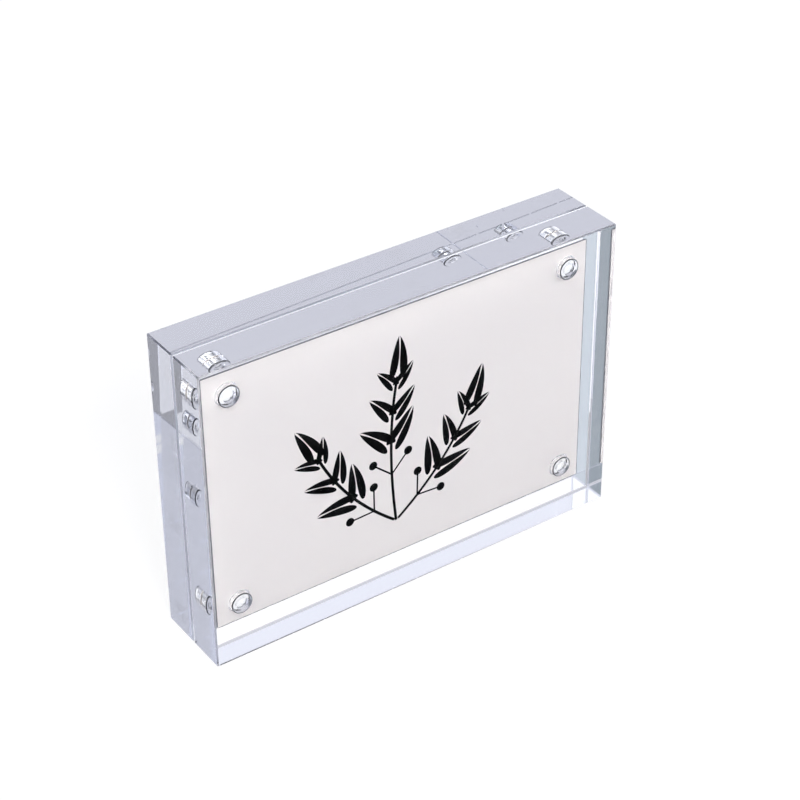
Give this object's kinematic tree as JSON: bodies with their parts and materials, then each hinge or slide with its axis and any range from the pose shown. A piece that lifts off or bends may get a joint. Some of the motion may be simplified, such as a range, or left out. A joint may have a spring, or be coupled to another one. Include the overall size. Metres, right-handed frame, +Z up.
{
  "type": "acrylic photo frame",
  "caption": "Free-standing frame of two thick clear acrylic blocks that magnets hold together round a printed card; the front block pulls off and the card lifts out.",
  "frame": {"origin": "under the middle of the closed frame, on the surface that it stands on", "axes": "+X along the width, to the right as seen from the front; +Y from the front to the back; +Z up"},
  "size_m": [0.127, 0.0244, 0.089],
  "materials": {
    "front_acrylic": "polished",
    "rear_acrylic": "polished",
    "card": "matte",
    "magnet_nickel": "polished"
  },
  "bodies": {
    "rear": {"rear_block": "rear_acrylic", "rear_magnet_top_left": "magnet_nickel", "rear_magnet_top_right": "magnet_nickel", "rear_magnet_bottom_left": "magnet_nickel", "rear_magnet_bottom_right": "magnet_nickel"},
    "front": {"front_block": "front_acrylic", "front_magnet_top_left": "magnet_nickel", "front_magnet_top_right": "magnet_nickel", "front_magnet_bottom_left": "magnet_nickel", "front_magnet_bottom_right": "magnet_nickel"},
    "card": {"insert_card": "card"}
  },
  "joints": [
    {"name": "front_pull", "type": "slide", "parent": "rear", "child": "front", "axis": [0, -1, 0], "range_m": [0, 0.06]},
    {"name": "card_lift", "type": "slide", "parent": "rear", "child": "card", "axis": [0, 0, 1], "range_m": [0, 0.085]}
  ]
}
